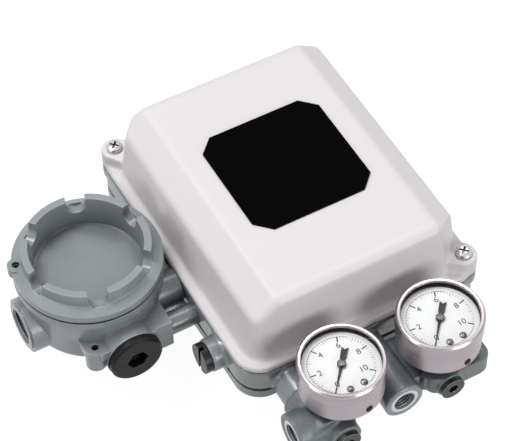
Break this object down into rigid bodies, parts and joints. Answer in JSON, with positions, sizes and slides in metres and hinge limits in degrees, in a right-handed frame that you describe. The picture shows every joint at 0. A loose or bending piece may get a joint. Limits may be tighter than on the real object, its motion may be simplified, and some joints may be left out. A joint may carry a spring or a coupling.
{
  "type": "valve positioner",
  "caption": "Electro-pneumatic valve positioner: white cover on a grey cast body, twin pressure gauges on port blocks, a side terminal box with a screwed lid and a rear feedback shaft.",
  "frame": {"origin": "centre of the four mounting holes, on the flat rear face of the mounting pad", "axes": "+Z out of the rear face towards the cover's top, +Y away from the gauges, +X away from the terminal box"},
  "size_m": [0.2134, 0.2119, 0.0988],
  "materials": {
    "grey_paint": "satin enamel over a fine cast texture",
    "cover_paint": "satin warm white enamel",
    "label": "bare gloss black",
    "gasket": "matt",
    "screw_steel": "bright plated",
    "dark_steel": "blackened",
    "plug": "brown-black, semi gloss",
    "black_plastic": "moulded",
    "stainless": "turned",
    "gauge_glass": "clear",
    "dial_white": "matt white",
    "pointer_black": "matt black",
    "brass": "turned",
    "soft_iron": "zinc plated",
    "magnet": "plain",
    "coil": "enamelled copper winding",
    "aluminium": "machined",
    "copper_tube": "drawn"
  },
  "bodies": {
    "housing": {"body_case": "grey_paint", "rear_plate": "grey_paint", "rear_gasket": "gasket", "rear_screws": "screw_steel", "cover_gasket": "gasket", "terminal_box": "grey_paint", "terminal_block": "black_plastic", "terminal_screws": "screw_steel", "conduit_plug": "plug", "plug_gasket": "gasket", "support_pillar": "grey_paint", "wire_nipple": "screw_steel", "left_block": "grey_paint", "left_block_plug": "dark_steel", "right_block": "grey_paint", "right_block_plug": "dark_steel", "left_gauge_case": "stainless", "left_gauge_bezel": "stainless", "left_gauge_glass": "gauge_glass", "left_gauge_dial": "dial_white", "right_gauge_case": "stainless", "right_gauge_bezel": "stainless", "right_gauge_glass": "gauge_glass", "right_gauge_dial": "dial_white", "shaft_bush": "brass", "shaft_seal": "gasket", "feedback_spring": "stainless", "motor_yoke": "soft_iron", "motor_magnets": "magnet", "motor_poles": "soft_iron", "motor_coil": "coil", "pivot_bracket": "soft_iron", "nozzle": "brass", "nozzle_tube": "copper_tube", "relay_body": "aluminium", "relay_cap": "aluminium", "relay_screws": "screw_steel", "zero_bracket": "soft_iron", "zero_spring": "stainless"},
    "cover": {"cover": "cover_paint", "cover_label": "label", "cover_screws": "screw_steel"},
    "lid_carrier": {"lid_seal": "gasket"},
    "lid": {"terminal_lid": "grey_paint", "lid_lock_screw": "dark_steel"},
    "left_pointer": {"left_gauge_pointer": "pointer_black"},
    "right_pointer": {"right_gauge_pointer": "pointer_black"},
    "selector": {"selector": "black_plastic"},
    "feedback": {"feedback_shaft": "stainless", "shaft_clip": "dark_steel", "span_arm": "stainless", "span_pin": "brass"},
    "beam": {"beam": "aluminium"},
    "zero": {"zero_wheel": "brass"}
  },
  "joints": [
    {"name": "cover_lift", "type": "slide", "parent": "housing", "child": "cover", "axis": [0, 0, 1], "range_m": [0, 0.06]},
    {"name": "lid_rise", "type": "slide", "parent": "housing", "child": "lid_carrier", "axis": [0, 0, 1], "range_m": [0, 0.0101]},
    {"name": "lid_turn", "type": "hinge", "parent": "lid_carrier", "child": "lid", "pos_m": [-0.1061, 0.011, 0.045], "axis": [0, 0, 1], "range_deg": [0, 1800]},
    {"name": "left_pointer_turn", "type": "hinge", "parent": "housing", "child": "left_pointer", "pos_m": [-0.03, -0.107, 0.0497], "axis": [0, 0, -1], "range_deg": [0, 270], "stiffness_Nm_per_rad": 0.0005},
    {"name": "right_pointer_turn", "type": "hinge", "parent": "housing", "child": "right_pointer", "pos_m": [0.025, -0.107, 0.0497], "axis": [0, 0, -1], "range_deg": [0, 270], "stiffness_Nm_per_rad": 0.0005},
    {"name": "selector_turn", "type": "hinge", "parent": "housing", "child": "selector", "pos_m": [-0.0743, -0.0525, 0.0203], "axis": [-1, 0, 0], "range_deg": [0, 90]},
    {"name": "feedback_turn", "type": "hinge", "parent": "housing", "child": "feedback", "pos_m": [0.03, 0.03, 0], "axis": [0, 0, 1], "range_deg": [-30, 30], "deforming": ["feedback_spring"]},
    {"name": "beam_rock", "type": "hinge", "parent": "housing", "child": "beam", "pos_m": [-0.002, -0.006, 0.032], "axis": [0, 1, 0], "range_deg": [-0.8, 0.8], "stiffness_Nm_per_rad": 0.6, "deforming": ["zero_spring"]},
    {"name": "zero_turn", "type": "hinge", "parent": "housing", "child": "zero", "pos_m": [-0.024, -0.006, 0.0544], "axis": [0, 0, 1], "range_deg": [-720, 720]}
  ],
  "couplings": [
    {"joint": "lid_rise", "follows": "lid_turn", "m_per_rad": 0.00031831}
  ]
}
